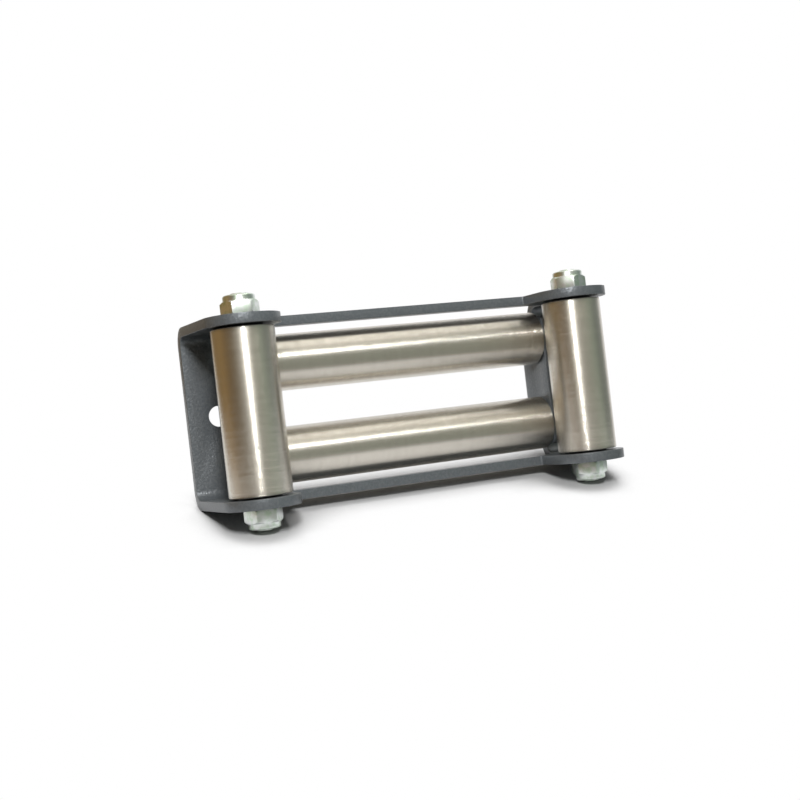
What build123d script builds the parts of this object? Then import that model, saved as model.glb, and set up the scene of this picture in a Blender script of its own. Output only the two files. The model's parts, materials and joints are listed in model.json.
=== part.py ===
"""Four-way roller fairlead: a bent sheet frame, two upright and two level rollers on through studs.

Millimetres, +Z up. The origin is the middle of the mounting hole pattern on the frame's back face;
+X runs along the level rollers and -Y points forwards, to the side that the rope leaves.
"""
import os

from build123d import *

# Mounting holes
mount_spacing = 152.4           # 6 in pattern
mount_hole_diameter = 8.4

# Frame, bent from one steel sheet
sheet_thickness = 3.8
bend_radius = 4.0               # inside radius of the two flange bends
frame_height = 72.8             # over the two flanges
bar_depth = 7.0                 # front to back size of the cross bars
bar_corner_radius = 1.0         # inside corner between a cross bar and an ear
ear_margin = 2.75               # how far an ear reaches past its upright roller
side_slant = 1.3                # how much wider the plate is than the ears, on each side
tab_to_mount = 7.6              # outer face of a bent-in tab to the middle of the mounting hole
tab_short = 2.85                # front edge of the tabs and bars to the front of the level rollers
tab_end_relief = 0.6            # end of a tab to the start of the flange bend
tab_bend_radius = 2.2           # inside radius of a tab's bend
tab_corner_radius = 3.0
relief_width = 3.4              # how far the window runs past the tab's outer face, above and below it
window_corner_radius = 3.0

# Studs, M8
stud_diameter = 8.0
stud_hole_clearance = 0.1       # radial, in the frame
stud_tip = 0.5                  # stud end past its nut
stud_end_chamfer = 0.8

# Upright rollers
upright_diameter = 24.5
upright_end_play = 0.25         # roller end to its washer
upright_past_tab = 3.9          # outer face of a tab to the upright axis beside it

# Level rollers
level_diameter = 22.7
level_end_play = 0.2
level_bar_gap = 2.75            # level roller to the flange above or below it
level_rear = 3.85               # back face of the frame to the rear of the level rollers
roller_nesting = 2.1            # how far the upright rollers reach behind the front of the level ones

# What both kinds of roller share
roller_wall = 3.2
roller_end_chamfer = 0.5
bush_length = 12.0
bush_running_clearance = 0.05   # radial, on the stud
bush_press_gap = 0.02           # radial, in the tube
bush_bore_chamfer = 0.5
washer_diameter = 16.0
washer_thickness = 0.5
washer_clearance = 0.2          # radial, on the stud

# Nylon insert lock nuts, M8
nut_flats = 13.0
nut_height = 8.0
nut_hex_height = 5.7
nut_chamfer_rise = 1.0          # height of the cone that trims the six corners
nut_collar_diameter = 12.4
nut_collar_round = 0.9
nut_thread_clearance = 0.03     # radial
insert_diameter = 10.4
insert_height = 1.9
insert_gap = 0.02               # radial, in the collar
lip_diameter = 9.6              # mouth of the collar, rolled over the insert
lip_thickness = 0.3

# Frame heights, about the middle plane
half_height = frame_height / 2
outer_bend_radius = bend_radius + sheet_thickness
flange_face = half_height - sheet_thickness
tab_end = half_height - outer_bend_radius - tab_end_relief
level_z = flange_face - level_bar_gap - level_diameter / 2

# Distances in front of the back face
level_setback = level_rear + level_diameter / 2
level_front = level_rear + level_diameter
front_reach = level_front - tab_short
upright_setback = level_front + upright_diameter / 2 - roller_nesting

# Distances to each side of the middle
mount_x = mount_spacing / 2
tab_outer_face = mount_x - tab_to_mount
tab_face = tab_outer_face - sheet_thickness
window_half_width = tab_outer_face + relief_width
upright_x = tab_outer_face + upright_past_tab
ear_radius = upright_diameter / 2 + ear_margin
half_width = upright_x + ear_radius + side_slant

upright_length = 2 * (flange_face - washer_thickness - upright_end_play)
level_length = 2 * (tab_face - washer_thickness - level_end_play)
stud_radius = stud_diameter / 2
nut_corner_radius = nut_flats / 3**0.5
insert_seat = nut_height - lip_thickness - insert_height

os.makedirs("parts", exist_ok=True)


def save(solid, name):
    """Label one finished piece and write it as its own file."""
    solid.label = name
    export_step(solid, f"parts/{name}.step")


# Frame: a channel section cut to the plan of its flanges, with a window and two bent-in tabs
with BuildPart() as frame:
    with BuildSketch(Plane.YZ):
        with BuildLine():
            FilletPolyline(
                (-upright_setback - ear_radius, half_height),
                (0, half_height),
                (0, -half_height),
                (-upright_setback - ear_radius, -half_height),
                radius=outer_bend_radius,
            )
            offset(amount=-sheet_thickness, side=Side.RIGHT, closed=True)
        make_face()
    extrude(amount=half_width, both=True)

    # Plan of the flanges: straight slanting sides that run into round ears, bars set back between them
    with BuildSketch(Plane.XY):
        with BuildLine():
            bar_and_ear = FilletPolyline(
                (0, -front_reach),
                (upright_x - ear_radius, -front_reach),
                (upright_x - ear_radius, -upright_setback),
                radius=bar_corner_radius,
            )
            ear_front = ThreePointArc(
                bar_and_ear @ 1,
                (upright_x, -upright_setback - ear_radius),
                (upright_x + ear_radius, -upright_setback),
            )
            side = Line(ear_front @ 1, (half_width, -outer_bend_radius))
            plate_end = Line(side @ 1, (half_width, 0))
            Line(plate_end @ 1, (0, 0))
            mirror(about=Plane.YZ)
        make_face()
    extrude(amount=half_height, both=True, mode=Mode.INTERSECT)

    # Window: it takes away the middle of the plate, both bends and the flanges up to the bars
    with BuildSketch(Plane.XY):
        window_depth = front_reach - bar_depth
        with Locations((0, -window_depth / 2)):
            Rectangle(2 * window_half_width, window_depth)
        fillet(vertices().group_by(Axis.Y)[0], radius=window_corner_radius)
    extrude(amount=half_height, both=True, mode=Mode.SUBTRACT)

    # Tabs: the sheet beside the window, turned forwards to carry the level studs
    for tab_side in (-1, 1):
        with BuildSketch(Plane.XY):
            with BuildLine():
                FilletPolyline(
                    (tab_side * (window_half_width + half_width) / 2, 0),
                    (tab_side * tab_face, 0),
                    (tab_side * tab_face, -front_reach),
                    radius=tab_bend_radius + sheet_thickness,
                )
                offset(amount=sheet_thickness, side=Side.LEFT if tab_side > 0 else Side.RIGHT, closed=True)
            make_face()
        extrude(amount=tab_end, both=True)
    front_edges = frame.edges().filter_by(Axis.X).group_by(Axis.Y)[0]
    tab_corners = front_edges.group_by(SortBy.LENGTH)[0]
    fillet(tab_corners, radius=tab_corner_radius)

    # Holes: upright studs, level studs, mounting bolts
    with Locations(Plane.XY.offset(half_height)):
        with Locations((-upright_x, -upright_setback), (upright_x, -upright_setback)):
            Hole(radius=stud_radius + stud_hole_clearance)
    with Locations(Plane.YZ.offset(tab_outer_face)):
        with Locations((-level_setback, -level_z), (-level_setback, level_z)):
            Hole(radius=stud_radius + stud_hole_clearance)
    with Locations(Plane.XZ):
        with Locations((-mount_x, 0), (mount_x, 0)):
            Hole(radius=mount_hole_diameter / 2)

save(frame.part, "frame")


def make_stud(length):
    """Plain shank of a through stud, along Z."""
    with BuildPart() as stud:
        Cylinder(radius=stud_radius, height=length)
        chamfer(stud.edges().filter_by(GeomType.CIRCLE), length=stud_end_chamfer)
    return stud.part


def make_tube(diameter, length):
    """Steel tube that the rope runs on, along Z, with both outer rims broken."""
    with BuildPart() as tube:
        Cylinder(radius=diameter / 2, height=length)
        chamfer(tube.edges().filter_by(GeomType.CIRCLE), length=roller_end_chamfer)
        Cylinder(radius=diameter / 2 - roller_wall, height=length, mode=Mode.SUBTRACT)
    return tube.part


def make_bush(tube_diameter):
    """Plain bearing pressed into one end of a tube: its outer face is on XY, its body below."""
    with BuildPart() as bush:
        with BuildSketch():
            Circle(tube_diameter / 2 - roller_wall - bush_press_gap)
            Circle(stud_radius + bush_running_clearance, mode=Mode.SUBTRACT)
        extrude(amount=-bush_length)
        bore_edges = bush.faces().filter_by(GeomType.CYLINDER).sort_by(SortBy.RADIUS)[0].edges()
        chamfer(bore_edges.filter_by(GeomType.CIRCLE), length=bush_bore_chamfer)
    return bush.part


def make_washer():
    """Thrust washer that lies below XY, between the frame's inner face and a roller's end."""
    with BuildPart() as washer:
        with BuildSketch():
            Circle(washer_diameter / 2)
            Circle(stud_radius + washer_clearance, mode=Mode.SUBTRACT)
        extrude(amount=-washer_thickness)
    return washer.part


def make_nut(turn):
    """Lock nut on XY: a hexagon trimmed by a cone at both ends, and a round collar with a rolled lip."""
    with BuildPart() as nut:
        with BuildSketch():
            RegularPolygon(radius=nut_flats / 2, side_count=6, major_radius=False, rotation=turn)
        extrude(amount=nut_hex_height)
        with BuildSketch(Plane.XZ):
            with BuildLine():
                Polyline(
                    (0, 0),
                    (nut_flats / 2, 0),
                    (nut_corner_radius, nut_chamfer_rise),
                    (nut_corner_radius, nut_hex_height - nut_chamfer_rise),
                    (nut_flats / 2, nut_hex_height),
                    (0, nut_hex_height),
                    close=True,
                )
            make_face()
        revolve(axis=Axis.Z, mode=Mode.INTERSECT)
        with BuildSketch(Plane.XY.offset(nut_hex_height)):
            Circle(nut_collar_diameter / 2)
        extrude(amount=nut_height - nut_hex_height)
        fillet(nut.faces().sort_by(Axis.Z)[-1].edges(), radius=nut_collar_round)
        with BuildSketch(Plane.XY.offset(insert_seat)):
            Circle(insert_diameter / 2)
        extrude(amount=insert_height, mode=Mode.SUBTRACT)
        with BuildSketch(Plane.XY.offset(nut_height)):
            Circle(lip_diameter / 2)
        extrude(amount=-lip_thickness, mode=Mode.SUBTRACT)
        with BuildSketch():
            Circle(stud_radius + nut_thread_clearance)
        extrude(amount=nut_height, mode=Mode.SUBTRACT)
    return nut.part


def make_insert():
    """Nylon ring held in a lock nut's collar, in the nut's own place."""
    with BuildPart() as insert:
        with BuildSketch(Plane.XY.offset(insert_seat)):
            Circle(insert_diameter / 2 - insert_gap)
            Circle(stud_radius + nut_thread_clearance, mode=Mode.SUBTRACT)
        extrude(amount=insert_height)
    return insert.part


def facing_out(axis, distance):
    """Place on a stud's axis, at a distance from its middle and turned to face away from it."""
    outward = axis.z_dir * (1 if distance > 0 else -1)
    return Plane(origin=axis.origin + axis.z_dir * distance, x_dir=axis.x_dir, z_dir=outward).location


# Each stud line: its axis, its tube, the frame's faces that it passes through, and its two ends
# with the turn of the nut there
upright_line = {
    "diameter": upright_diameter,
    "length": upright_length,
    "inner_face": flange_face,
    "outer_face": half_height,
}
level_line = {
    "diameter": level_diameter,
    "length": level_length,
    "inner_face": tab_face,
    "outer_face": tab_outer_face,
}
lines = {
    "left": (
        Plane(origin=(-upright_x, -upright_setback, 0), x_dir=(1, 0, 0), z_dir=(0, 0, 1)),
        upright_line,
        {"lower": (-1, 6.5), "upper": (1, 50.5)},
    ),
    "right": (
        Plane(origin=(upright_x, -upright_setback, 0), x_dir=(1, 0, 0), z_dir=(0, 0, 1)),
        upright_line,
        {"lower": (-1, 40.0), "upper": (1, 18.4)},
    ),
    "bottom": (
        Plane(origin=(0, -level_setback, -level_z), x_dir=(0, 1, 0), z_dir=(1, 0, 0)),
        level_line,
        {"left": (-1, 12.0), "right": (1, 34.0)},
    ),
    "top": (
        Plane(origin=(0, -level_setback, level_z), x_dir=(0, 1, 0), z_dir=(1, 0, 0)),
        level_line,
        {"left": (-1, 48.0), "right": (1, 3.0)},
    ),
}

for line_name, (axis, line, ends) in lines.items():
    stud_length = 2 * (line["outer_face"] + nut_height + stud_tip)
    save(make_stud(stud_length).moved(axis.location), f"{line_name}_stud")
    save(make_tube(line["diameter"], line["length"]).moved(axis.location), f"{line_name}_roller_tube")
    for end_name, (toward, nut_turn) in ends.items():
        tube_end = facing_out(axis, toward * line["length"] / 2)
        inner_face = facing_out(axis, toward * line["inner_face"])
        outer_face = facing_out(axis, toward * line["outer_face"])
        save(make_bush(line["diameter"]).moved(tube_end), f"{line_name}_roller_{end_name}_bush")
        save(make_washer().moved(inner_face), f"{line_name}_roller_{end_name}_washer")
        save(make_nut(nut_turn).moved(outer_face), f"{line_name}_stud_{end_name}_nut")
        save(make_insert().moved(outer_face), f"{line_name}_stud_{end_name}_insert")
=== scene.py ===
"""Looks of the roller fairlead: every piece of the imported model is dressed, finished and lit.

Metres, in the model's own frame: +X along the level rollers, -Y to the front, +Z up.
"""

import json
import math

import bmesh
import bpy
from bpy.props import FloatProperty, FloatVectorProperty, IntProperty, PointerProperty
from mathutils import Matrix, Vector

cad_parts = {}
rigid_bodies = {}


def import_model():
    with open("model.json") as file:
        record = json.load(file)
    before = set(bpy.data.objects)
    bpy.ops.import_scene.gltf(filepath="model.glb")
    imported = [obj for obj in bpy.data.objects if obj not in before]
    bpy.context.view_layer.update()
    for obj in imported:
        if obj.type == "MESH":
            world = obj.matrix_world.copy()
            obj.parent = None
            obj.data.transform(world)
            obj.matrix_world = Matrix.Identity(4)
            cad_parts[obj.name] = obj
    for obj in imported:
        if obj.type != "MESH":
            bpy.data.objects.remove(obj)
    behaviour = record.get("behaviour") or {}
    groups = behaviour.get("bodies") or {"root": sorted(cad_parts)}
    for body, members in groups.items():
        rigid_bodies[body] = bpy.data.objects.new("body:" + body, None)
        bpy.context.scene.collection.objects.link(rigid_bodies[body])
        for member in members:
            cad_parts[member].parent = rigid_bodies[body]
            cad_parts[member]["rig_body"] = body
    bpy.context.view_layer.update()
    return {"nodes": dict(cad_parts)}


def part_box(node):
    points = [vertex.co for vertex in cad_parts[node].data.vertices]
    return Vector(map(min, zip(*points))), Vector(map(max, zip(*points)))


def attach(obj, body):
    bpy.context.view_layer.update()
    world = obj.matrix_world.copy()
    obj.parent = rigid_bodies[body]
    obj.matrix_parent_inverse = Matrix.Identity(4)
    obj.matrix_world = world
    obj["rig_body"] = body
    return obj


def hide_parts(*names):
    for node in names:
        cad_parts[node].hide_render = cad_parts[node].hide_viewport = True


bl_info = {
    "name": "Roller Fairlead",
    "version": (1, 0, 0),
    "blender": (4, 5, 0),
    "location": "3D View > Sidebar > Fairlead",
    "description": "Bent sheet frame, steel rollers and lock nuts of a roller fairlead",
    "category": "Object",
}

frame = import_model()

# The four stud lines, the direction in which each runs, and the names of its two ends
LINES = {
    "left": (Vector((0, 0, 1)), ("lower", "upper")),
    "right": (Vector((0, 0, 1)), ("lower", "upper")),
    "bottom": (Vector((1, 0, 0)), ("left", "right")),
    "top": (Vector((1, 0, 0)), ("left", "right")),
}
WELD = 1e-6                        # points nearer to each other than this are one
SMOOTH_UNDER = math.radians(32)    # an edge that bends less than this is shaded smooth
FLAT_UNDER = math.radians(0.5)     # faces that bend less than this are one face
BREAK_STEPS = 2                    # facets across a small broken edge
WHITE = (1.0, 1.0, 1.0)


# Sizes and colours that a user would change

def length(name, description, default):
    """A length in metres, shown in the scene's own unit."""
    return FloatProperty(
        name=name, description=description, default=default, min=0, unit="LENGTH", precision=5
    )


def angle(name, description, degrees):
    """An angle, given in degrees."""
    return FloatProperty(
        name=name, description=description, default=math.radians(degrees), subtype="ANGLE"
    )


def share(name, description, default):
    """A number from 0 to 1."""
    return FloatProperty(
        name=name, description=description, default=default, min=0, max=1, subtype="FACTOR"
    )


def colour(name, description, default):
    """A linear colour."""
    return FloatVectorProperty(
        name=name, description=description, default=default, min=0, max=1, size=3, subtype="COLOR"
    )


def count(name, description, default, least=1):
    """A number of facets."""
    return IntProperty(name=name, description=description, default=default, min=least)


def power(name, description, default):
    """The power of a lamp, in watts."""
    return FloatProperty(
        name=name, description=description, default=default, min=0, unit="POWER"
    )


class SheetFrameSettings(bpy.types.PropertyGroup):
    """Edges and coat of the bent sheet frame."""

    edge_round: length("Edge Round", "Rounding of the coated sheet's edges", 0.0005)
    round_steps: count("Round Steps", "Facets across a rounded edge", 3)
    coat: colour("Coat", "Colour of the powder coat", (0.185, 0.205, 0.222))
    flake: colour("Flake", "Colour of the metal flakes in the coat", (0.34, 0.36, 0.38))
    flake_size: length("Flake Size", "Size of one metal flake", 0.00022)
    flow_size: length("Flow Size", "Size of the ripples in the coat", 0.001)
    flow_depth: length("Flow Depth", "Depth of the ripples in the coat", 0.00013)
    metal: share("Metal", "How metallic the coat looks between its flakes", 0.16)
    sparkle: share("Sparkle", "How metallic a flake looks", 0.75)
    roughness: share("Roughness", "Roughness of the coat", 0.34)
    gloss: share("Gloss", "How strongly the coat mirrors between its flakes", 0.45)


class RollerSettings(bpy.types.PropertyGroup):
    """Form and finish of the four steel rollers."""

    wall: length("Wall", "Wall of a roller tube", 0.0032)
    rim_round: length("Rim Round", "Rounding of a roller's outer rims", 0.0005)
    rim_steps: count("Rim Steps", "Facets across a rounded rim", 5)
    spin_steps: count("Spin Steps", "Facets round a roller", 192, least=12)
    steel: colour("Steel", "Colour of the turned steel", (0.62, 0.585, 0.52))
    mark_width: length("Mark Width", "Width of one turning mark", 0.000004)
    upright_slope: share("Upright Slope", "Slope of a mark's flank on the upright rollers", 0.2)
    level_slope: share("Level Slope", "Slope of a mark's flank on the level rollers", 0.3)
    mark_run: length("Mark Run", "How far round the roller a band of marks stays alike", 0.05)
    band_width: length("Band Width", "Width of a band of like marks", 0.0004)
    roughness: share("Roughness", "Roughness on a mark's flank", 0.25)


class PlasticSettings(bpy.types.PropertyGroup):
    """Finish of the bushes, the washers and the rings in the lock nuts."""

    bush: colour("Bush", "Colour of the bearing plastic", (0.018, 0.018, 0.02))
    washer: colour("Washer", "Colour of the washer plastic", (0.022, 0.022, 0.024))
    ring: colour("Ring", "Colour of the rings in the nuts", (0.78, 0.8, 0.76))
    bush_roughness: share("Bush Roughness", "Roughness of the bearing plastic", 0.42)
    washer_roughness: share("Washer Roughness", "Roughness of the washer plastic", 0.5)
    ring_roughness: share("Ring Roughness", "Roughness of the rings in the nuts", 0.4)
    edge_break: length("Edge Break", "Rounding of the plastic pieces' edges", 0.00012)


class FastenerSettings(bpy.types.PropertyGroup):
    """Form and finish of the studs and lock nuts."""

    flats: length("Flats", "Width of a nut across its flats", 0.013)
    height: length("Height", "Height of a nut", 0.008)
    hex_height: length("Hex Height", "Height of a nut's hexagon", 0.0057)
    chamfer_rise: length("Chamfer Rise", "Height of the cone that trims the corners", 0.001)
    collar: length("Collar", "Diameter of the round collar", 0.0124)
    collar_round: length("Collar Round", "Rounding of the collar's outer rim", 0.0009)
    mouth: length("Mouth", "Diameter of the rolled lip's mouth", 0.0096)
    lip: length("Lip", "Thickness of the rolled lip", 0.0003)
    corner_break: length("Corner Break", "Rounding of the nut's edges", 0.00015)
    pitch: length("Pitch", "Pitch of the stud's thread", 0.00125)
    thread_depth: length("Thread Depth", "Depth of the stud's thread", 0.00065)
    thread_length: length("Thread Length", "Threaded length at each end of a stud", 0.0125)
    tip_chamfer: length("Tip Chamfer", "Chamfer at each end of a stud", 0.0008)
    collar_steps: count("Collar Steps", "Facets across the collar's rounded rim", 5)
    nut_steps: count("Nut Steps", "Facets round a nut's collar", 96, least=12)
    shank_steps: count("Shank Steps", "Facets round a stud's plain shank", 64, least=12)
    thread_steps: count("Thread Steps", "Facets in one turn of the thread", 40, least=12)
    zinc: colour("Zinc", "Colour of the zinc plating", (0.76, 0.79, 0.78))
    tint: colour("Tint", "Colour of the passivation's tint", (0.56, 0.66, 0.55))
    roughness: share("Roughness", "Roughness of the plating", 0.33)


class StageSettings(bpy.types.PropertyGroup):
    """Camera, floor and light."""

    azimuth: angle("Azimuth", "Turn of the camera about the object", -23.675)
    elevation: angle("Elevation", "Height of the camera in the object's own frame", -0.378)
    roll: angle("Roll", "Turn of the camera about its own axis", -6.636)
    distance: length("Distance", "From the camera to its target", 0.49)
    target: FloatVectorProperty(
        name="Target",
        description="Point that the camera looks at",
        default=(-0.01121, -0.0367, -0.00196),
        subtype="XYZ",
        unit="LENGTH",
    )
    lens: FloatProperty(
        name="Lens", description="Focal length of the camera", default=55.46, min=1, unit="CAMERA"
    )
    sensor: FloatProperty(
        name="Sensor", description="Width of the sensor", default=36.0, min=1, unit="CAMERA"
    )
    near_clip: length("Near Clip", "Nearest distance that the camera sees", 0.01)
    key_rise: angle("Key Rise", "How far the main lamp stands above the camera", 30.0)
    key_turn: angle("Key Turn", "How far the main lamp stands to the camera's right", 3.0)
    key_distance: length("Key Distance", "From the main lamp to the object", 0.5)
    key_size: length("Key Size", "Width of the main lamp", 0.1)
    key_power: power("Key Power", "Power of the main lamp", 1.3)
    strip_rise: angle("Strip Rise", "How far the strip lamp stands above the floor", 58.0)
    strip_side: share("Strip Side", "How far the strip lamp stands to the object's right", 0.4)
    strip_distance: length("Strip Distance", "From the strip lamp to the object", 0.5)
    strip_length: length("Strip Length", "Length of the strip lamp, from front to back", 0.3)
    strip_width: length("Strip Width", "Width of the strip lamp", 0.05)
    strip_power: power("Strip Power", "Power of the strip lamp", 0.28)
    floor: colour("Floor", "Colour with which the floor lights the object", (0.25, 0.25, 0.25))
    seen_floor: colour("Seen Floor", "Colour of the floor in the shadow", (0.85, 0.85, 0.85))
    floor_half: length("Floor Half", "Half the width of the floor", 0.15)
    floor_front: length("Floor Front", "How far the floor reaches in front of the object", 0.09)
    fade_start: length("Fade Start", "Where the floor starts to fade into the background", 0.14)
    fade_end: length("Fade End", "Where the floor has faded into the background", 0.22)
    shadow_reach: length("Shadow Reach", "How far away the object shades the floor", 0.03)
    shadow_dark: share("Shadow Dark", "Openness up to which the floor's shadow is full", 0.42)
    shadow_light: share("Shadow Light", "Openness from which the floor has no shadow", 0.78)
    fill: share("Fill", "Share of the room's light that softens the shadows", 0.06)
    ceiling: colour("Ceiling", "Colour of the room's ceiling", (1.0, 0.97, 0.87))
    ground: colour("Ground", "Colour of the ground in front of the walls", (0.25, 0.23, 0.2))


SETTINGS = {
    "fairlead_sheet_frame": SheetFrameSettings,
    "fairlead_rollers": RollerSettings,
    "fairlead_plastics": PlasticSettings,
    "fairlead_fasteners": FastenerSettings,
    "fairlead_stage": StageSettings,
}


# Shader maths

class Value:
    """One output socket; Python's operators on it add the nodes that work them out."""

    def __init__(self, finish, socket):
        self.finish = finish
        self.socket = socket

    def maths(self, operation, *others):
        return self.finish.node("ShaderNodeMath", {"operation": operation}, self, *others)

    def reflected(self, operation, other):
        """The same, with the other number first."""
        return self.finish.node("ShaderNodeMath", {"operation": operation}, other, self)

    def __add__(self, other):
        return self.maths("ADD", other)

    def __sub__(self, other):
        return self.maths("SUBTRACT", other)

    def __rsub__(self, other):
        return self.reflected("SUBTRACT", other)

    def __mul__(self, other):
        return self.maths("MULTIPLY", other)

    def __truediv__(self, other):
        return self.maths("DIVIDE", other)

    def __rtruediv__(self, other):
        return self.reflected("DIVIDE", other)

    __radd__ = __add__
    __rmul__ = __mul__

    def between(self, low, high):
        """0 at low, 1 at high, smooth in between."""
        settings = {"interpolation_type": "SMOOTHSTEP"}
        return self.finish.node("ShaderNodeMapRange", settings, self, low, high)


class Finish:
    """A node tree in the making, of a material or of the world."""

    def __init__(self, owner):
        owner.use_nodes = True
        self.owner = owner
        self.tree = owner.node_tree
        self.tree.nodes.clear()

    def node(self, kind, settings=None, *inputs, output=None, **named):
        """Add a node: its settings first, then its inputs in order or by name.

        Gives the output of a name, or else the first one that is in use.
        """
        made = self.tree.nodes.new(kind)
        for name, value in (settings or {}).items():
            if name == "stops":
                self.set_stops(made, value)
            else:
                setattr(made, name, value)
        sockets = [s for s in made.inputs if s.enabled]
        for socket, value in zip(sockets, inputs):
            self.feed(socket, value)
        for name, value in named.items():
            self.feed(made.inputs[name.replace("_", " ")], value)
        if output:
            return Value(self, made.outputs[output])
        given = [s for s in made.outputs if s.enabled]
        return Value(self, given[0]) if given else None

    def feed(self, socket, value):
        if isinstance(value, Value):
            self.tree.links.new(value.socket, socket)
        elif value is not None:
            wants_alpha = socket.type == "RGBA" and len(value) == 3
            socket.default_value = (*value, 1) if wants_alpha else value

    def set_stops(self, ramp_node, stops):
        ramp = ramp_node.color_ramp
        while len(ramp.elements) < len(stops):
            ramp.elements.new(1)
        for element, (place, shade) in zip(ramp.elements, stops):
            element.position = place
            element.color = (*shade, 1)

    def mix(self, factor, first, second):
        """Colour that goes from first to second."""
        settings = {"data_type": "RGBA", "clamp_factor": True}
        return self.node("ShaderNodeMix", settings, factor, first, second)

    def place(self, stretch=(1, 1, 1)):
        """Object coordinates in metres, stretched along each axis."""
        where = self.node("ShaderNodeTexCoord", output="Object")
        return self.node("ShaderNodeMapping", None, where, (0, 0, 0), (0, 0, 0), stretch)

    def vector(self, operation, *inputs):
        return self.node("ShaderNodeVectorMath", {"operation": operation}, *inputs)

    def noise(self, where, scale=1.0, detail=2.0, roughness=0.5):
        return self.node("ShaderNodeTexNoise", None, where, scale, detail, roughness)

    def rays(self, *kinds):
        """1 for a ray of one of these kinds, and 0 for any other."""
        first, *rest = (self.node("ShaderNodeLightPath", output=kind) for kind in kinds)
        return sum(rest, first)

    def bump(self, height, depth, under=None):
        """Normal over a height of 0 to 1 that stands for a depth in metres."""
        return self.node(
            "ShaderNodeBump", None, Strength=1.0, Distance=depth, Height=height, Normal=under
        )

    def surface(self, **named):
        """Close a material with its shader."""
        shader = self.node("ShaderNodeBsdfPrincipled", None, **named)
        self.node("ShaderNodeOutputMaterial", None, shader)
        return self.owner


def new_finish(name):
    return Finish(bpy.data.materials.new(name))


def powder_coat(sheet):
    """Dark grey coat with fine metal flakes, over the ripples that it dries with."""
    grain_tone, ripple_tone, flake_tone = 0.15, 0.2, 0.4
    flake_depth = 0.05 * sheet.flow_depth
    uneven = 0.1
    f = new_finish("frame_powder_coat")
    where = f.place()
    flow = f.noise(where, 1 / sheet.flow_size, 2)
    grain = f.noise(where, 1 / sheet.flake_size, 2, 0.7)
    cell_scale = 1 / sheet.flake_size
    cells = f.node("ShaderNodeTexVoronoi", None, where, Scale=cell_scale, output="Color")
    chance = f.node("ShaderNodeSeparateColor", None, cells)
    flakes = chance.between(0.78, 0.95)
    tone = grain.between(0.3, 0.7) * grain_tone + flow.between(0.4, 0.65) * ripple_tone
    ground = f.mix(tone, tuple(sheet.coat), tuple(sheet.flake))
    return f.surface(
        Base_Color=f.mix(flakes * flake_tone, ground, tuple(sheet.flake)),
        Metallic=sheet.metal + flakes * (sheet.sparkle - sheet.metal),
        Roughness=sheet.roughness + flakes * uneven + (flow - 0.5) * uneven,
        Specular_IOR_Level=sheet.gloss,
        Normal=f.bump(grain, flake_depth, f.bump(flow, sheet.flow_depth)),
    )


def turned_steel(roller, line, direction):
    """Steel with fine turning marks that run right round, each leaning its own way."""
    mean_of_three = 1.5
    # Bands of like marks, and tides: the same, but wider and longer
    tide_width, tide_run = 5 * roller.band_width, 2 * roller.mark_run
    band_tone, tide_tone, darkest = 0.3, 0.7, 0.96
    band_uneven, tide_uneven = 0.01, 0.015
    f = new_finish(f"{line}_roller_turned_steel")
    slope = roller.upright_slope if direction.z else roller.level_slope
    reach = f.vector("DOT_PRODUCT", f.place(), tuple(direction))
    mark = (reach / roller.mark_width).maths("FLOOR")
    draw = {"noise_dimensions": "1D"}
    chance = f.node("ShaderNodeTexWhiteNoise", draw, mark, output="Color")
    lean = (f.vector("DOT_PRODUCT", chance, (1, 1, 1)) - mean_of_three) * (2 * slope)
    facing = f.node("ShaderNodeNewGeometry", output="Normal")
    leaning = f.vector("MULTIPLY_ADD", tuple(direction), lean, facing)
    fine = tuple(1 / (roller.band_width if d else roller.mark_run) for d in direction)
    broad = tuple(1 / (tide_width if d else tide_run) for d in direction)
    bands = f.noise(f.place(fine), 1.0, 3, 0.6)
    tides = f.noise(f.place(broad), 1.0, 2, 0.6)
    shade = tuple(roller.steel)
    tone = bands.between(0.3, 0.7) * band_tone + tides.between(0.3, 0.6) * tide_tone
    uneven = (bands - 0.5) * band_uneven + (tides - 0.5) * tide_uneven
    return f.surface(
        Base_Color=f.mix(tone, tuple(darkest * c for c in shade), shade),
        Metallic=1.0,
        Roughness=roller.roughness + uneven,
        Normal=f.vector("NORMALIZE", leaning),
    )


def zinc_plate(name, fastener):
    """Bright zinc with a faint tint that shifts over the surface."""
    cloud_scale, cloud_uneven = 420.0, 0.15
    grain_scale, grain_uneven, grain_depth = 5200.0, 0.08, 0.000004
    f = new_finish(name)
    where = f.place()
    cloud = f.noise(where, cloud_scale, 3)
    grain = f.noise(where, grain_scale, 2)
    uneven = (cloud - 0.5) * cloud_uneven + (grain - 0.5) * grain_uneven
    return f.surface(
        Base_Color=f.mix(cloud.between(0.35, 0.7), tuple(fastener.zinc), tuple(fastener.tint)),
        Metallic=1.0,
        Roughness=fastener.roughness + uneven,
        Normal=f.bump(grain, grain_depth),
    )


def moulded_plastic(name, shade, roughness):
    """Plastic with a fine even grain, paler on its peaks."""
    grain_scale, grain_tone, grain_uneven, grain_depth = 3800.0, 0.6, 0.2, 0.000006
    f = new_finish(name)
    grain = f.noise(f.place(), grain_scale, 3)
    paler = tuple(min(1.0, 1.3 * c + 0.01) for c in shade)
    return f.surface(
        Base_Color=f.mix(grain.between(0.4, 0.8) * grain_tone, tuple(shade), paler),
        Roughness=roughness + (grain - 0.5) * grain_uneven,
        Normal=f.bump(grain, grain_depth),
    )


# Modelling

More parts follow.
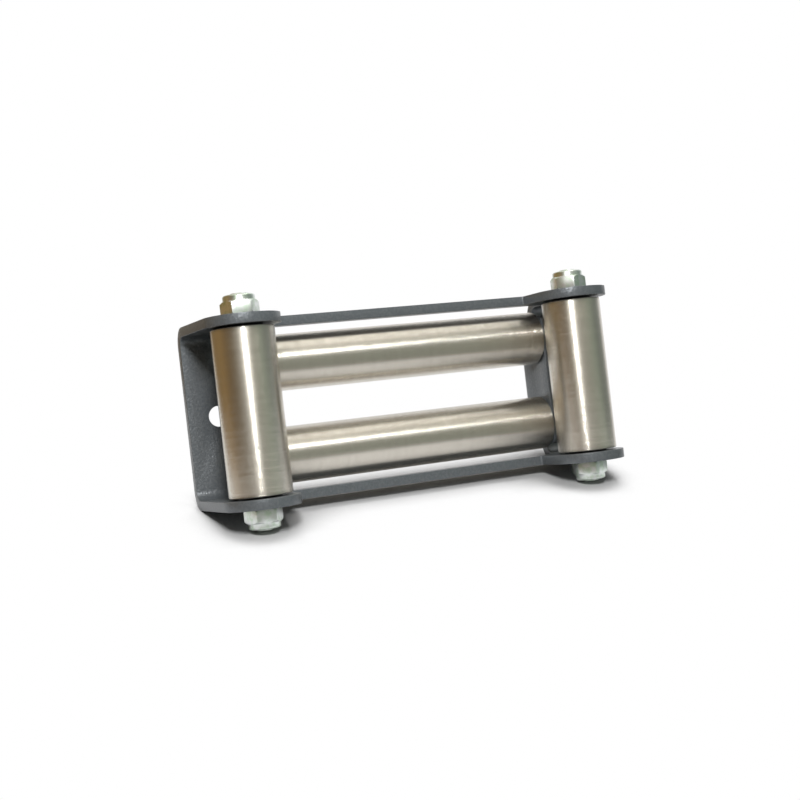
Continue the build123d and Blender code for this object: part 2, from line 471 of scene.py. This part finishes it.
def finish_piece(shape, name, node, material):
    """Turn a bmesh into the piece that stands for a CAD node, on the node's own body."""
    bmesh.ops.recalc_face_normals(shape, faces=shape.faces)
    mesh = bpy.data.meshes.new(name)
    shape.to_mesh(mesh)
    shape.free()
    mesh.shade_smooth()
    mesh.set_sharp_from_angle(angle=SMOOTH_UNDER)
    piece = bpy.data.objects.new(name, mesh)
    bpy.context.scene.collection.objects.link(piece)
    mesh.materials.append(material)
    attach(piece, frame["nodes"][node]["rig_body"])
    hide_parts(node)


def soften(shape, radius, steps=BREAK_STEPS):
    """Round every sharp edge."""
    shared = [e for e in shape.edges if len(e.link_faces) == 2]
    bmesh.ops.bevel(
        shape,
        geom=[e for e in shared if e.calc_face_angle() > SMOOTH_UNDER],
        offset=radius,
        offset_type="OFFSET",
        segments=steps,
        profile=0.5,
        affect="EDGES",
        material=-1,
        clamp_overlap=True,
    )


def welded_copy(node):
    """The CAD node's shape with its loose triangles joined and its flat faces made whole."""
    shape = bmesh.new()
    shape.from_mesh(frame["nodes"][node].data)
    bmesh.ops.remove_doubles(shape, verts=shape.verts, dist=WELD)
    bmesh.ops.dissolve_limit(
        shape, angle_limit=FLAT_UNDER, verts=shape.verts, edges=shape.edges
    )
    return shape


def spun(outline, steps):
    """Solid of revolution about Z from a closed outline of (radius, height) points."""
    shape = bmesh.new()
    points = [shape.verts.new((r, 0, h)) for r, h in outline]
    edges = [shape.edges.new(pair) for pair in zip(points, points[1:] + points[:1])]
    bmesh.ops.spin(
        shape,
        geom=points + edges,
        cent=(0, 0, 0),
        axis=(0, 0, 1),
        angle=math.tau,
        steps=steps,
        use_merge=True,
    )
    bmesh.ops.remove_doubles(shape, verts=shape.verts, dist=WELD)
    along_axis = [e for e in shape.edges if e.is_wire]
    bmesh.ops.delete(shape, geom=along_axis, context="EDGES")
    return shape


def everything(shape):
    return [*shape.verts, *shape.edges, *shape.faces]


def trim(shape, point, outward):
    """Cut off what lies beyond a plane, and close the cut."""
    cut = bmesh.ops.bisect_plane(
        shape,
        geom=everything(shape),
        dist=WELD,
        plane_co=point,
        plane_no=outward,
        clear_outer=True,
    )
    rim = [g for g in cut["geom_cut"] if isinstance(g, bmesh.types.BMEdge)]
    bmesh.ops.contextual_create(shape, geom=rim)


def quarter(centre_r, centre_h, radius, start, steps):
    """Points of a quarter circle, from a start angle in degrees on."""
    turns = [math.radians(start + 90 * i / steps) for i in range(steps + 1)]
    return [(centre_r + radius * math.cos(t), centre_h + radius * math.sin(t)) for t in turns]


def line_middle(line):
    """Middle of a stud line."""
    low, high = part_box(f"{line}_stud")
    return (low + high) / 2


def lay(shape, line, outward, distance):
    """Move a shape modelled on +Z onto a stud line, to face one of its ends at a distance."""
    direction = LINES[line][0] * outward
    turn = direction.to_track_quat("Z", "Y").to_matrix().to_4x4()
    place = Matrix.Translation(line_middle(line) + direction * distance)
    bmesh.ops.transform(shape, matrix=place @ turn, verts=shape.verts)


def seat(node, line, outward):
    """Distance from a line's middle to the near face of a node on it."""
    direction = LINES[line][0] * outward
    low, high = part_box(node)
    middle = line_middle(line)
    return min((corner - middle).dot(direction) for corner in (low, high))


def ends():
    """Every end of every stud line: the line, the end's name, and 1 or -1 along the line."""
    for line, (_, names) in LINES.items():
        for name, outward in zip(names, (-1, 1)):
            yield line, name, outward


class FAIRLEAD_OT_sheet_frame(bpy.types.Operator):
    """Round the bent frame's edges and coat it"""

    bl_idname = "fairlead.sheet_frame"
    bl_label = "Sheet Frame"

    def execute(self, context):
        sheet = context.scene.fairlead_sheet_frame
        shape = welded_copy("frame")
        soften(shape, sheet.edge_round, sheet.round_steps)
        finish_piece(shape, "sheet_frame", "frame", powder_coat(sheet))
        return {"FINISHED"}


class FAIRLEAD_OT_rollers(bpy.types.Operator):
    """Spin the four roller tubes"""

    bl_idname = "fairlead.rollers"
    bl_label = "Rollers"

    def execute(self, context):
        roller = context.scene.fairlead_rollers
        for line, (direction, _) in LINES.items():
            node = f"{line}_roller_tube"
            low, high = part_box(node)
            size = high - low
            half_length = size.dot(direction) / 2
            radius = size.y / 2
            bore = radius - roller.wall
            rim = roller.rim_round
            upper_rim = quarter(radius - rim, half_length - rim, rim, 0, roller.rim_steps)
            lower_rim = quarter(radius - rim, rim - half_length, rim, -90, roller.rim_steps)
            outline = [(bore, half_length), (bore, -half_length), *lower_rim, *upper_rim]
            shape = spun(outline, roller.spin_steps)
            lay(shape, line, 1, 0)
            steel = turned_steel(roller, line, direction)
            finish_piece(shape, f"{line}_roller_sleeve", node, steel)
        return {"FINISHED"}


class FAIRLEAD_OT_bearings(bpy.types.Operator):
    """Make the bushes in the rollers and the washers at their ends"""

    bl_idname = "fairlead.bearings"
    bl_label = "Bushes and Washers"

    def execute(self, context):
        plastic = context.scene.fairlead_plastics
        acetal = moulded_plastic("bush_plastic", plastic.bush, plastic.bush_roughness)
        nylon = moulded_plastic("washer_plastic", plastic.washer, plastic.washer_roughness)
        kinds = (("bush", acetal, "bush_acetal"), ("washer", nylon, "washer_nylon"))
        for line, end, _ in ends():
            for kind, material, slot in kinds:
                node = f"{line}_roller_{end}_{kind}"
                shape = welded_copy(node)
                soften(shape, plastic.edge_break)
                finish_piece(shape, f"{line}_{end}_{kind}_ring", node, material)
        return {"FINISHED"}


class FAIRLEAD_OT_studs(bpy.types.Operator):
    """Make the through studs, threaded at both ends"""

    bl_idname = "fairlead.studs"
    bl_label = "Studs"

    def execute(self, context):
        fastener = context.scene.fairlead_fasteners
        zinc = zinc_plate("stud_zinc_plate", fastener)
        for line, (direction, _) in LINES.items():
            node = f"{line}_stud"
            low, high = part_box(node)
            size = high - low
            shape = self.shank(fastener, size.y / 2, size.dot(direction) / 2)
            lay(shape, line, 1, 0)
            finish_piece(shape, f"{line}_threaded_stud", node, zinc)
        return {"FINISHED"}

    def shank(self, fastener, radius, half_length):
        """Plain shank that carries a thread at each end."""
        root = radius - fastener.thread_depth
        plain = half_length - fastener.thread_length
        full = plain - fastener.thread_depth
        outline = [
            (0, -plain),
            (root, -plain),
            (radius, -full),
            (radius, full),
            (root, plain),
            (0, plain),
        ]
        shape = spun(outline, fastener.shank_steps)
        thread = self.thread(fastener, radius, full, half_length)
        # The thread goes on at the upper end, and the stud is turned over, once for each end
        for _ in range(2):
            shape.from_mesh(thread)
            bmesh.ops.rotate(shape, matrix=Matrix.Rotation(math.pi, 3, "X"), verts=shape.verts)
        bpy.data.meshes.remove(thread)
        return shape

    def thread(self, fastener, radius, start, tip):
        """Mesh of a helical thread about Z, closed at both ends and chamfered at its tip."""
        pitch, steps = fastener.pitch, fastener.thread_steps
        root = radius - fastener.thread_depth
        chamfer_start = tip - fastener.tip_chamfer
        # Ends of one turn's groove and crest, by share of the pitch
        profile = [(root, 0.0), (root, 0.15), (radius, 0.45), (radius, 0.6)]
        # Turns that start below the thread, so that it is whole where it is cut off
        lead_in = 1.5
        turns = math.ceil((tip - start) / pitch) + 2
        outline = [
            (r, start + (turn - lead_in + along) * pitch)
            for turn in range(turns)
            for r, along in profile
        ]
        shape = bmesh.new()
        points = [shape.verts.new((r, 0, h)) for r, h in outline]
        edges = [shape.edges.new(pair) for pair in zip(points, points[1:])]
        bmesh.ops.spin(
            shape,
            geom=points + edges,
            cent=(0, 0, 0),
            axis=(0, 0, 1),
            dvec=(0, 0, pitch / steps),
            angle=math.tau,
            steps=steps,
        )
        bmesh.ops.remove_doubles(shape, verts=shape.verts, dist=WELD)
        trim(shape, (0, 0, start), (0, 0, -1))
        bmesh.ops.bisect_plane(
            shape,
            geom=everything(shape),
            dist=WELD,
            plane_co=(0, 0, chamfer_start),
            plane_no=(0, 0, 1),
        )
        trim(shape, (0, 0, tip), (0, 0, 1))
        for vertex in shape.verts:
            around = vertex.co.to_2d().length
            most = radius - max(0, vertex.co.z - chamfer_start)
            if around > most:
                vertex.co.xy *= most / around
        mesh = bpy.data.meshes.new("thread")
        shape.to_mesh(mesh)
        shape.free()
        return mesh


class FAIRLEAD_OT_lock_nuts(bpy.types.Operator):
    """Cut the lock nuts' hexagons and collars, and set a ring in each"""

    bl_idname = "fairlead.lock_nuts"
    bl_label = "Lock Nuts"

    def execute(self, context):
        fastener = context.scene.fairlead_fasteners
        plastic = context.scene.fairlead_plastics
        zinc = zinc_plate("nut_zinc_plate", fastener)
        nylon = moulded_plastic("nut_ring_plastic", plastic.ring, plastic.ring_roughness)
        for line, end, outward in ends():
            node = f"{line}_stud_{end}_nut"
            shape = self.nut(fastener, self.bore(node, line))
            lay(shape, line, outward, seat(node, line, outward))
            self.turn_like(shape, node, line)
            finish_piece(shape, f"{line}_{end}_lock_nut", node, zinc)
            insert = f"{line}_stud_{end}_insert"
            ring = welded_copy(insert)
            soften(ring, plastic.edge_break)
            finish_piece(ring, f"{line}_{end}_nut_ring", insert, nylon)
        return {"FINISHED"}

    def bore(self, node, line):
        """Radius of the hole in a CAD nut."""
        return min(r for r, _ in self.polar(frame["nodes"][node].data.vertices, line))

    def polar(self, vertices, line):
        """Radius and angle of each vertex about a stud line."""
        direction = LINES[line][0]
        middle = line_middle(line)
        side = Vector((0, 1, 0))
        other = direction.cross(side)
        for vertex in vertices:
            reach = vertex.co - middle
            x, y = reach.dot(side), reach.dot(other)
            yield math.hypot(x, y), math.atan2(y, x)

    def turn_like(self, shape, node, line):
        """Turn a nut about its line until its corners meet those of the CAD nut."""
        wanted = max(self.polar(frame["nodes"][node].data.vertices, line))[1]
        now = max(self.polar(shape.verts, line))[1]
        turn = Matrix.Rotation(wanted - now, 3, LINES[line][0])
        bmesh.ops.rotate(shape, cent=line_middle(line), matrix=turn, verts=shape.verts)

    def nut(self, fastener, bore):
        """Lock nut that stands on XY with its collar up."""
        flat = fastener.flats / 2
        past_corner = 1.001 * fastener.flats / math.sqrt(3)
        hexagon, rise = fastener.hex_height, fastener.chamfer_rise
        collar, rim = fastener.collar / 2, fastener.collar_round
        mouth, top, under_lip = fastener.mouth / 2, fastener.height, fastener.height - fastener.lip
        outline = [
            (bore, 0),
            (flat, 0),
            (past_corner, rise),
            (past_corner, hexagon - rise),
            (flat, hexagon),
            (collar, hexagon),
            *quarter(collar - rim, top - rim, rim, 0, fastener.collar_steps),
            (mouth, top),
            (mouth, under_lip),
            (bore, under_lip),
        ]
        shape = spun(outline, fastener.nut_steps)
        for side in range(6):
            facing = Matrix.Rotation(math.radians(60 * side), 3, "Z") @ Vector((1, 0, 0))
            trim(shape, facing * flat, facing)
        soften(shape, fastener.corner_break)
        bmesh.ops.remove_doubles(shape, verts=shape.verts, dist=3 * WELD)
        return shape


# Walls of the room by bearing: 0.25 to the camera's left, 0.5 behind the camera, 0.75 to its right
WALLS = (
    (0.1, (0.6, 0.5, 0.38)),
    (0.14, (0.27, 0.18, 0.08)),
    (0.26, (0.34, 0.22, 0.09)),
    (0.34, (0.19, 0.13, 0.07)),
    (0.41, (0.19, 0.15, 0.1)),
    (0.5, (0.44, 0.43, 0.4)),
    (0.6, (0.34, 0.35, 0.31)),
    (0.7, (0.34, 0.39, 0.33)),
    (0.78, (0.22, 0.25, 0.23)),
    (0.85, (0.32, 0.34, 0.33)),
)
# Bearings at which the walls give way to the white behind the object
WHITE_LEFT = (0.1, 0.08)
WHITE_RIGHT = (0.85, 0.885)
# Sines of the rise at which the ground gives way to the walls, and the walls to the ceiling
GROUND_TO_WALLS = (-0.6, 0)
WALLS_TO_CEILING = (0.6, 0.9)
# The object leans back by less than this, and the lean is found by so many halvings
STEEPEST_LEAN = math.radians(45)
HALVINGS = 24


class FAIRLEAD_OT_stage(bpy.types.Operator):
    """Lay the floor, light the object and aim the camera"""

    bl_idname = "fairlead.stage"
    bl_label = "Stage"

    def execute(self, context):
        stage = context.scene.fairlead_stage
        back, right, up = self.camera_axes(stage)
        self.camera(context, stage, back, right, up)
        lean, contact = self.resting_plane()
        self.floor(context, stage, lean, contact)
        self.key_lamp(context, stage)
        self.strip_lamp(context, stage, lean)
        self.room(context, stage, back, self.floor_normal(lean))
        context.scene.view_settings.view_transform = "Standard"
        return {"FINISHED"}

    def camera_axes(self, stage):
        """Directions of the camera's back, right and top."""
        a, e, r = stage.azimuth, stage.elevation, stage.roll
        back = Vector((math.sin(a) * math.cos(e), -math.cos(a) * math.cos(e), math.sin(e)))
        level = Vector((math.cos(a), math.sin(a), 0))
        over = back.cross(level)
        right = level * math.cos(r) + over * math.sin(r)
        return back, right, back.cross(right)

    def camera(self, context, stage, back, right, up):
        data = bpy.data.cameras.new("camera")
        data.sensor_fit = "HORIZONTAL"
        data.sensor_width = stage.sensor
        data.lens = stage.lens
        data.clip_start = stage.near_clip
        camera = bpy.data.objects.new("camera", data)
        context.scene.collection.objects.link(camera)
        turn = Matrix((right, up, back)).transposed().to_4x4()
        place = Matrix.Translation(Vector(stage.target) + back * stage.distance)
        camera.matrix_world = place @ turn
        context.scene.camera = camera

    def floor_normal(self, lean):
        return Vector((0, -math.sin(lean), math.cos(lean)))

    def resting_plane(self):
        """Lean at which the front nuts and the back bend touch one plane, and a point on it."""
        front = [v.co for v in frame["nodes"]["left_stud_lower_nut"].data.vertices]
        front += [v.co for v in frame["nodes"]["left_stud"].data.vertices]
        rear = [v.co for v in frame["nodes"]["frame"].data.vertices if v.co.y > front[0].y / 2]
        low, high = 0.0, STEEPEST_LEAN
        for _ in range(HALVINGS):
            lean = (low + high) / 2
            normal = self.floor_normal(lean)
            front_low = min(front, key=normal.dot)
            rear_low = min(rear, key=normal.dot)
            if normal.dot(front_low) < normal.dot(rear_low):
                low = lean
            else:
                high = lean
        return lean, front_low

    def floor(self, context, stage, lean, contact):
        """Pale sheet that the object stands on; it ends a little way in front."""
        shape = bmesh.new()
        bmesh.ops.create_grid(shape, x_segments=1, y_segments=1, size=stage.floor_half)
        backwards = Matrix.Translation((0, stage.floor_half - stage.floor_front, 0))
        leaning = Matrix.Rotation(lean, 4, "X")
        place = Matrix.Translation((0, contact.y, contact.z))
        bmesh.ops.transform(shape, matrix=place @ leaning @ backwards, verts=shape.verts)
        mesh = bpy.data.meshes.new("floor")
        shape.to_mesh(mesh)
        shape.free()
        floor = bpy.data.objects.new("floor", mesh)
        context.scene.collection.objects.link(floor)
        mesh.materials.append(self.floor_white(stage))

    def floor_white(self, stage):
        """White of the background, except where the object shades the floor."""
        f = new_finish("floor_white")
        away = f.vector("LENGTH", f.place()).between(stage.fade_start, stage.fade_end)
        settings = {"samples": 8}
        reach = stage.shadow_reach
        openness = f.node("ShaderNodeAmbientOcclusion", settings, None, reach, output="AO")
        clear = away + openness.between(stage.shadow_dark, stage.shadow_light)
        seen = f.rays("Is Camera Ray", "Is Glossy Ray", "Is Transmission Ray")
        shade = f.mix(seen, tuple(stage.floor), tuple(stage.seen_floor))
        paint = f.node("ShaderNodeBsdfDiffuse", None, shade)
        glow = f.node("ShaderNodeEmission", None, WHITE, 1.0)
        blend = f.node("ShaderNodeMixShader", None, clear * seen, paint, glow)
        f.node("ShaderNodeOutputMaterial", None, blend)
        return f.owner

    def key_lamp(self, context, stage):
        """Soft square lamp above the camera."""
        turn = stage.azimuth + stage.key_turn
        rise = math.tan(stage.key_rise + stage.elevation)
        toward = Vector((math.sin(turn), -math.cos(turn), rise * math.cos(turn))).normalized()
        data = self.lamp(context, stage, "key_lamp", toward, stage.key_distance)
        data.shape = "SQUARE"
        data.size = stage.key_size
        data.energy = stage.key_power

    def strip_lamp(self, context, stage, lean):
        """Long narrow lamp overhead on the right, from front to back."""
        side = stage.strip_side
        rise = stage.strip_rise + lean
        toward = Vector((side, -math.cos(rise), math.sin(rise))).normalized()
        data = self.lamp(context, stage, "strip_lamp", toward, stage.strip_distance)
        data.shape = "RECTANGLE"
        data.size = stage.strip_width
        data.size_y = stage.strip_length
        data.energy = stage.strip_power

    def lamp(self, context, stage, name, toward, distance):
        """Area lamp in a direction from the object, turned to face it."""
        data = bpy.data.lights.new(name, "AREA")
        lamp = bpy.data.objects.new(name, data)
        context.scene.collection.objects.link(lamp)
        across = Vector((0, 1, 0)).cross(toward).normalized()
        turn = Matrix((across, toward.cross(across), toward)).transposed().to_4x4()
        lamp.matrix_world = Matrix.Translation(Vector(stage.target) + toward * distance) @ turn
        return data

    def room(self, context, stage, back, normal):
        """Room round the object, with warm walls to its left and greenish ones to its right.

        The camera sees only white. Metal sees that white behind the object and mirrors the walls
        elsewhere, and diffuse light takes a small share of the room.
        """
        world = bpy.data.worlds.new("room")
        context.scene.world = world
        f = Finish(world)
        ray = f.node("ShaderNodeTexCoord", output="Generated")
        near = (back - normal * back.dot(normal)).normalized()
        axes = normal, normal.cross(near), near
        up, right, toward = (f.vector("DOT_PRODUCT", ray, tuple(axis)) for axis in axes)
        bearing = right.maths("ARCTAN2", toward) / math.tau + 0.5
        painted = f.node("ShaderNodeValToRGB", {"stops": WALLS}, bearing)
        behind = bearing.between(*WHITE_LEFT) + bearing.between(*WHITE_RIGHT)
        walls = f.mix(behind * f.rays("Is Glossy Ray"), painted, WHITE)
        ground = f.mix(0.5, walls, tuple(stage.ground))
        lower = f.mix(up.between(*GROUND_TO_WALLS), ground, walls)
        room = f.mix(up.between(*WALLS_TO_CEILING), lower, tuple(stage.ceiling))
        shown = f.mix(f.rays("Is Camera Ray", "Is Transmission Ray"), room, WHITE)
        scattered = f.node("ShaderNodeLightPath", output="Diffuse Depth").maths("MINIMUM", 1)
        strength = 1 - scattered * (1 - stage.fill)
        light = f.node("ShaderNodeBackground", None, shown, strength)
        f.node("ShaderNodeOutputWorld", None, light)


OPERATORS = (
    FAIRLEAD_OT_stage,
    FAIRLEAD_OT_sheet_frame,
    FAIRLEAD_OT_rollers,
    FAIRLEAD_OT_bearings,
    FAIRLEAD_OT_studs,
    FAIRLEAD_OT_lock_nuts,
)


class FAIRLEAD_PT_sidebar(bpy.types.Panel):
    """Lists the pieces and their settings"""

    bl_idname = "FAIRLEAD_PT_sidebar"
    bl_label = "Roller Fairlead"
    bl_space_type = "VIEW_3D"
    bl_region_type = "UI"
    bl_category = "Fairlead"

    def draw(self, context):
        for operator in OPERATORS:
            self.layout.operator(operator.bl_idname)
        for name, group in SETTINGS.items():
            box = self.layout.box()
            for setting in group.__annotations__:
                box.prop(getattr(context.scene, name), setting)


CLASSES = (*SETTINGS.values(), *OPERATORS, FAIRLEAD_PT_sidebar)


def register():
    for cls in CLASSES:
        bpy.utils.register_class(cls)
    for name, group in SETTINGS.items():
        setattr(bpy.types.Scene, name, PointerProperty(type=group))


def unregister():
    for name in SETTINGS:
        delattr(bpy.types.Scene, name)
    for cls in reversed(CLASSES):
        bpy.utils.unregister_class(cls)


def main():
    """Register the add-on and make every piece."""
    register()
    bpy.ops.fairlead.stage()
    bpy.ops.fairlead.sheet_frame()
    bpy.ops.fairlead.rollers()
    bpy.ops.fairlead.bearings()
    bpy.ops.fairlead.studs()
    bpy.ops.fairlead.lock_nuts()


if __name__ == "__main__":
    main()
